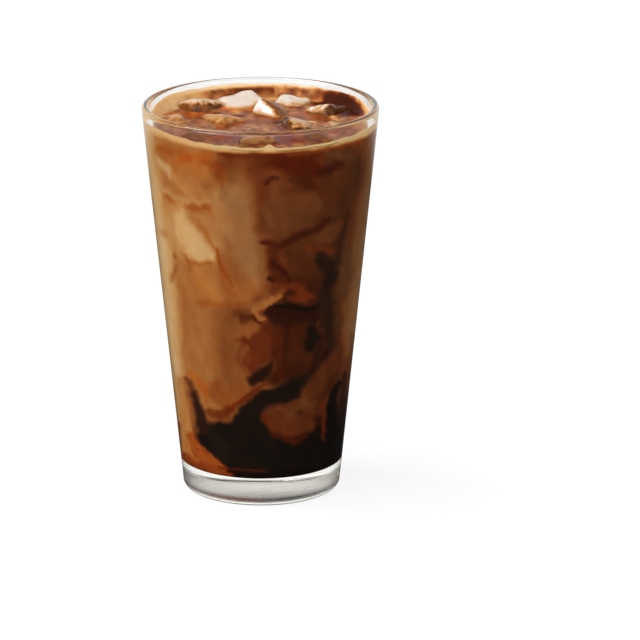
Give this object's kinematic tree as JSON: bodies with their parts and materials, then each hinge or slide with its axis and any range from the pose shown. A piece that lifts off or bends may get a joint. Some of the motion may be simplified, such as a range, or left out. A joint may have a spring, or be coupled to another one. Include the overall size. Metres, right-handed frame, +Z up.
{
  "type": "iced latte",
  "caption": "Clear tapered tumbler filled with milk-swirled iced coffee, half-melted ice at its surface, a thin ring of foam and a thick clear base.",
  "frame": {"origin": "centre of the glass's foot, on the surface it stands on", "axes": "+Z up through the mouth; the picture looks along +Y with +X to the right"},
  "size_m": [0.089, 0.089, 0.149],
  "materials": {
    "glass": "clear and polished",
    "latte": "wet, swirled from near-black coffee to pale milky brown",
    "ice": "wet, melted round, cloudy in the middle"
  },
  "bodies": {
    "root": {"glass": "glass", "latte": "latte", "ice_01": "ice", "ice_02": "ice", "ice_03": "ice", "ice_04": "ice", "ice_05": "ice", "ice_06": "ice", "ice_07": "ice", "ice_08": "ice", "ice_09": "ice", "ice_10": "ice", "ice_11": "ice", "ice_12": "ice"}
  },
  "joints": []
}
